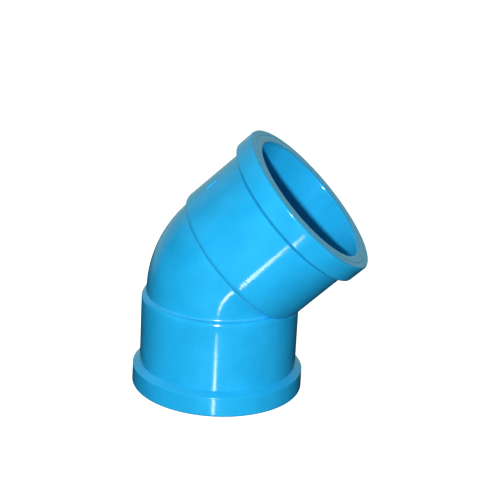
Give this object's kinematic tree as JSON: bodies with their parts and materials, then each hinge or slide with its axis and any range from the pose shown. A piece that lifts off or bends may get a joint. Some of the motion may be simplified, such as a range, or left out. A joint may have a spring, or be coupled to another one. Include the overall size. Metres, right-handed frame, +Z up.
{
  "type": "conduit elbow",
  "caption": "Hollow 45 degree PVC conduit elbow: a tight smooth bend between two equal sockets, each with a thicker collar round its mouth.",
  "frame": {"origin": "bottom centre of the whole elbow's box, on the plane that the lower mouth stands on; the lower socket's axis is the line x = -0.0232, y = 0", "axes": "+Z up the lower socket's axis, away from its mouth; the bend turns the axis from +Z towards +X, so the upper mouth faces along (+X, +Z) at 45 degrees; Y is square to the plane of the bend"},
  "size_m": [0.1835, 0.1372, 0.2101],
  "materials": {
    "bend_pvc": "glossy injection-moulded blue PVC",
    "socket_pvc": "glossy injection-moulded blue PVC with fine handling scratches",
    "collar_pvc": "glossy blue PVC, faint turning rings on the mouth face",
    "cement": "set solvent cement, slightly duller than the PVC"
  },
  "bodies": {
    "root": {"bend": "bend_pvc", "lower_socket": "socket_pvc", "upper_socket": "socket_pvc", "lower_collar": "collar_pvc", "upper_collar": "collar_pvc", "lower_cement_bead": "cement", "upper_cement_bead": "cement"}
  },
  "joints": []
}
